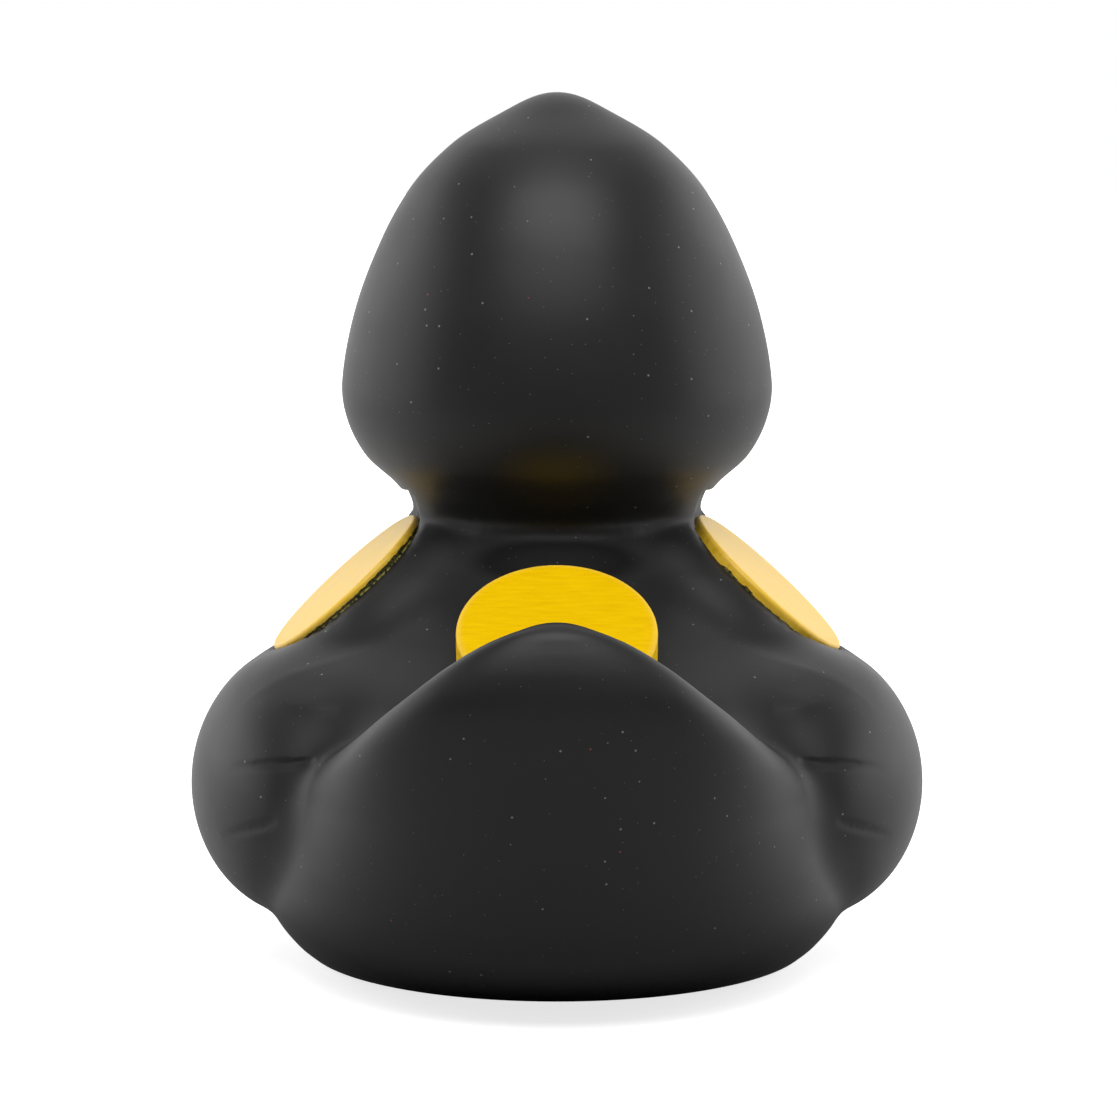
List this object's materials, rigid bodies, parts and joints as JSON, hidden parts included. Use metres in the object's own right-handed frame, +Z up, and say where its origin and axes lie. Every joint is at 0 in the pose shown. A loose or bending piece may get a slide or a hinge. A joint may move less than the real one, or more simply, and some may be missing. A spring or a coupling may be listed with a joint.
{
  "type": "rubber duck",
  "caption": "Hollow moulded toy duck with a drop-shaped head, folded wings, an upturned tail, raised painted coins and a flat base with a vent.",
  "frame": {"origin": "on the floor, under the middle of the duck's length and width", "axes": "+Z up from the flat base, +Y towards the tail (the beak points along -Y), +X towards the duck's left wing"},
  "size_m": [0.0718, 0.087, 0.0846],
  "materials": {
    "black_vinyl": "satin",
    "yellow_paint": "brushed satin",
    "beak_paint": "satin",
    "eye_paint": "gloss"
  },
  "bodies": {
    "root": {"duck_shell": "black_vinyl"}
  },
  "joints": []
}
